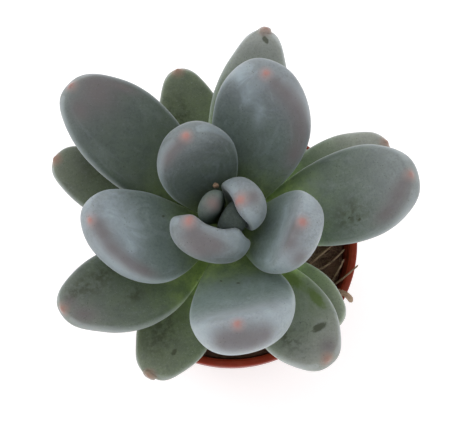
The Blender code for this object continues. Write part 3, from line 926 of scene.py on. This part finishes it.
def joinMeshes(name, parts, finish):
    # many small shapes, each with its place, become one piece
    bm = bmesh.new()
    for mesh, matrix in parts:
        before = len(bm.verts)
        bm.from_mesh(mesh)
        bm.verts.ensure_lookup_table()
        bmesh.ops.transform(bm, matrix=matrix, verts=bm.verts[before:])
    whole = bpy.data.meshes.new(name)
    bm.to_mesh(whole)
    bm.free()
    whole.materials.append(finishes[finish])
    piece = bpy.data.objects.new(name, whole)
    scene.collection.objects.link(piece)
    pick(piece)
    bpy.ops.object.shade_smooth()
    return piece


def placed(x, y, z, turn, scale=1.0):
    return Matrix.Translation((x, y, z)) @ Euler(turn).to_matrix().to_4x4() @ Matrix.Scale(scale, 4)


def makeCrumbs(spec):
    chance = random.Random(5)
    shapes = [roughBall(chance, (chance.uniform(0.7, 1), chance.uniform(0.6, 0.9))) for _ in range(9)]
    parts = []
    for _ in range(spec["crumbs"]):
        x, y = scatterSpot(chance)
        size = chance.choice(spec["crumbSizes"]) * mm * chance.uniform(0.7, 1.1)
        turn = [chance.uniform(0, 6.28) for _ in range(3)]
        parts.append((chance.choice(shapes), placed(x, y, soilHeight(x, y) + size * 0.2, turn, size)))
    piece = joinMeshes("soil_crumbs", parts, "soil")
    return settle(piece, "soil_crumbs")


def makeChips(spec):
    chance = random.Random(11)
    shapes = [roughBall(chance, (chance.uniform(0.3, 0.5), 0.22)) for _ in range(6)]
    parts = []
    for _ in range(spec["chips"]):
        x, y = scatterSpot(chance, 1.2 * mm)
        size = chance.uniform(0.9, 1.9) * mm
        turn = (chance.uniform(-0.5, 0.5), chance.uniform(-0.5, 0.5), chance.uniform(0, 6.28))
        parts.append((chance.choice(shapes), placed(x, y, soilHeight(x, y) + 0.3 * mm, turn, size)))
    piece = joinMeshes("soil_bark_chips", parts, "root")
    return settle(piece, "soil_bark_chips")


def tubeThrough(points, radii):
    # a thin closed tube as a curve, made a mesh
    curve = bpy.data.curves.new("fibre", "CURVE")
    curve.dimensions = "3D"
    curve.bevel_depth = 1.0
    curve.bevel_resolution = 0
    curve.use_fill_caps = True
    spline = curve.splines.new("POLY")
    spline.points.add(len(points) - 1)
    for point, place, radius in zip(spline.points, points, radii):
        point.co = (*place, 1)
        point.radius = radius
    holder = bpy.data.objects.new("fibre", curve)
    scene.collection.objects.link(holder)
    mesh = bpy.data.meshes.new_from_object(holder)
    bpy.data.objects.remove(holder, do_unlink=True)
    return mesh


def makeFibres(spec):
    chance = random.Random(23)
    limit = soilHigh.x - 0.6 * mm
    steps = spec["fibreSteps"]
    parts = []
    for number in range(spec["fibres"]):
        x, y = scatterSpot(chance, 1.0 * mm)
        heading = chance.gauss(0.6, 0.5) if number % 3 else chance.uniform(0, 6.28)
        if number % 2 and x < 8 * mm:
            x, y = abs(x) * 0.6 + 9 * mm, -abs(y) * 0.55
        length = chance.uniform(3.5, 10.0) * mm
        bend = chance.uniform(-1.9, 1.9)
        lift = chance.uniform(0.1, 1.3) * mm
        points = []
        for k in range(steps + 1):
            s = k / steps
            angle = heading + bend * (s - 0.5)
            px = x + (s - 0.5) * length * math.cos(angle)
            py = y + (s - 0.5) * length * math.sin(angle)
            far = math.hypot(px, py)
            if far > limit:
                px, py = px * limit / far, py * limit / far
            points.append(Vector((px, py, soilHeight(px, py) + 0.12 * mm + lift * math.sin(math.pi * s))))
        thick = chance.uniform(0.04, 0.10) * mm
        radii = [thick * (1 - 0.5 * abs(2 * k / steps - 1)) for k in range(steps + 1)]
        parts.append((tubeThrough(points, radii), Matrix.Identity(4)))
    piece = joinMeshes("soil_fibres", parts, "root")
    return settle(piece, "soil_fibres")


makeSoil(soilShape, soilLow, soilHigh)
makeCrumbs(soilShape)
makeChips(soilShape)
makeFibres(soilShape)
print("potting mix laid")


# ---- stem, roots and the dry scale: smoothed copies of their CAD solids

stemShape = {
    "levels": 4,
    "soilLine": 45 * mm,
    "lean": 1.2 * mm,  # how far the top has moved towards -x
    "radius": 3.1,  # in mm, to turn an angle into a way along the bark
    "scarFrom": 21,  # the scars carry on the spiral of the 20 leaves
    "scarTo": 30,
    "scarWidth": 1.7,  # half sizes of a scar, in mm
    "scarHeight": 0.75,
    "scarFade": 1.25,  # how many half sizes it takes to fade out
    "leafTop": 75 * mm,
    "leafPitch": 1.15 * mm,
    "turn": 222.5,
    "firstTurn": 330,
}
# how knobbly each dry piece is, in mm
rootKnobs = {"root_twig": 0.16, "root_fibre_1": 0.05, "root_fibre_2": 0.05,
             "root_fibre_3": 0.05, "root_fibre_4": 0.06, "dry_scale": 0.22}


def smoothCopy(node, levels):
    piece = frame["nodes"][node].copy()
    piece.data = piece.data.copy()
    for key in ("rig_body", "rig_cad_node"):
        if key in piece:
            del piece[key]
    piece.parent = None
    scene.collection.objects.link(piece)
    pick(piece)
    piece.data.materials.clear()
    bpy.ops.object.mode_set(mode="EDIT")
    bpy.ops.mesh.select_all(action="SELECT")
    bpy.ops.mesh.remove_doubles(threshold=0.002 * mm)
    bpy.ops.mesh.tris_convert_to_quads(face_threshold=1.2, shape_threshold=1.2)
    bpy.ops.object.mode_set(mode="OBJECT")
    smooth = piece.modifiers.new("smooth", "SUBSURF")
    smooth.levels = smooth.render_levels = levels
    applyAll(piece)
    bpy.ops.object.shade_smooth()
    return piece


def makeStem(spec):
    piece = smoothCopy("stem", spec["levels"])
    mesh = piece.data
    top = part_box("stem")[1].z
    scars = np.zeros(len(mesh.vertices))
    heights = np.zeros(len(mesh.vertices))
    for index, vert in enumerate(mesh.vertices):
        share = max(0.0, (vert.co.z - spec["soilLine"]) / (top - spec["soilLine"]))
        middle = Vector((-spec["lean"] * math.sin(math.pi / 2 * min(share, 1)), 0, vert.co.z))
        outwards = vert.co - middle
        angle = math.atan2(outwards.y, outwards.x)
        scar = 0.0
        for number in range(spec["scarFrom"], spec["scarTo"]):
            scarZ = spec["leafTop"] - spec["leafPitch"] * (number - 1)
            scarAngle = math.radians(spec["firstTurn"] + spec["turn"] * (number - 1))
            turnAway = (angle - scarAngle + math.pi) % (2 * math.pi) - math.pi
            across = turnAway * spec["radius"] / spec["scarWidth"]
            distance = math.hypot(across, (vert.co.z - scarZ) / mm / spec["scarHeight"])
            scar = max(scar, 1 - min(1.0, distance / spec["scarFade"]))
        scars[index] = scar
        heights[index] = share
        place = vert.co / mm
        bark = 0.10 * noise.noise(Vector((place.x, place.y, place.z * 0.5)) * 1.6)
        bark += 0.06 * noise.noise(place * 3.5)
        ring = 0.14 * math.exp(-((scar - 0.35) / 0.18) ** 2) - 0.10 * float(rise(scar, 0.5, 0.8))
        if outwards.length > 0.2 * mm:
            vert.co += outwards.normalized() * (bark + ring) * mm * min(1.0, outwards.length / (2 * mm))
    writeFacts(mesh, {"scar": scars, "height": heights})
    mesh.materials.append(finishes["stem"])
    return settle(piece, "stem_bark", ["stem"])


def makeRoot(node, knobs):
    piece = smoothCopy(node, 2)
    seed = Vector(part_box(node)[0]) / mm
    for vert in piece.data.vertices:
        place = vert.co / mm
        vert.co += vert.normal * knobs * (noise.noise(place * 2.2 + seed) + 0.5 * noise.noise(place * 6)) * mm
    piece.data.materials.append(finishes["root"])
    return settle(piece, node + "_dry", [node])


makeStem(stemShape)
for rootNode, knobs in rootKnobs.items():
    makeRoot(rootNode, knobs)
print("stem and roots made")


# ---- studio: camera, floor and light

studio = {
    "elevation": 79.0,  # degrees above the horizon
    "distance": 550 * mm,
    "aim": Vector((-1.3 * mm, 0, 85 * mm)),
    "lens": 215.0,
    "sensor": 36,
    "floorSize": 6.0,
    "floorPaper": (0.86, 0.86, 0.855, 1),
    "floorGlow": 0.40,
    "sky": (0.97, 0.985, 1.0, 1),
    "skyTop": 0.80,  # how bright straight up is
    "skySide": 1.35,  # how bright it is all round, low down
    "softboxPlace": Vector((-0.35, 0.25, 0.75)),
    "softboxAim": Vector((0, 0, 0.08)),
    "softboxSize": 0.6,
    "softboxPower": 1.3,
}


def setCamera(spec):
    tilt = math.radians(spec["elevation"])
    bpy.ops.object.camera_add()
    camera = bpy.context.object
    camera.location = spec["aim"] + spec["distance"] * Vector((0, -math.cos(tilt), math.sin(tilt)))
    camera.rotation_euler = (math.pi / 2 - tilt, 0, 0)
    camera.data.lens = spec["lens"]
    camera.data.sensor_width = spec["sensor"]
    camera.data.clip_start = 0.01
    camera.data.dof.use_dof = False
    scene.camera = camera


def makeFloor(spec):
    bpy.ops.object.select_all(action="DESELECT")
    bpy.ops.mesh.primitive_plane_add(size=spec["floorSize"], location=(0, 0, 0))
    floor = bpy.context.object
    floor.name = "floor"
    paper = newFinish("floor_paper", {
        "Base Color": spec["floorPaper"], "Roughness": 0.9, "Specular IOR Level": 0.1,
        "Emission Color": (1, 1, 1, 1), "Emission Strength": spec["floorGlow"],
    })[0]
    floor.data.materials.append(paper)


def setLight(spec):
    world = bpy.data.worlds.new("studio")
    scene.world = world
    world.use_nodes = True
    tree = world.node_tree
    height = Wire(tree).node("ShaderNodeTexCoord", output=0).split()[2]
    strength = height.ease(0.05, 0.85, spec["skySide"], spec["skyTop"])
    background = tree.nodes["Background"]
    background.inputs[0].default_value = spec["sky"]
    tree.links.new(strength.socket, background.inputs[1])
    bpy.ops.object.light_add(type="AREA", location=spec["softboxPlace"])
    softbox = bpy.context.object
    softbox.data.shape = "DISK"
    softbox.data.size = spec["softboxSize"]
    softbox.data.energy = spec["softboxPower"]
    softbox.rotation_euler = (spec["softboxAim"] - spec["softboxPlace"]).to_track_quat("-Z", "Y").to_euler()


makeFloor(studio)
setLight(studio)
setCamera(studio)
scene.view_settings.view_transform = "Standard"
scene.cycles.use_denoising = True
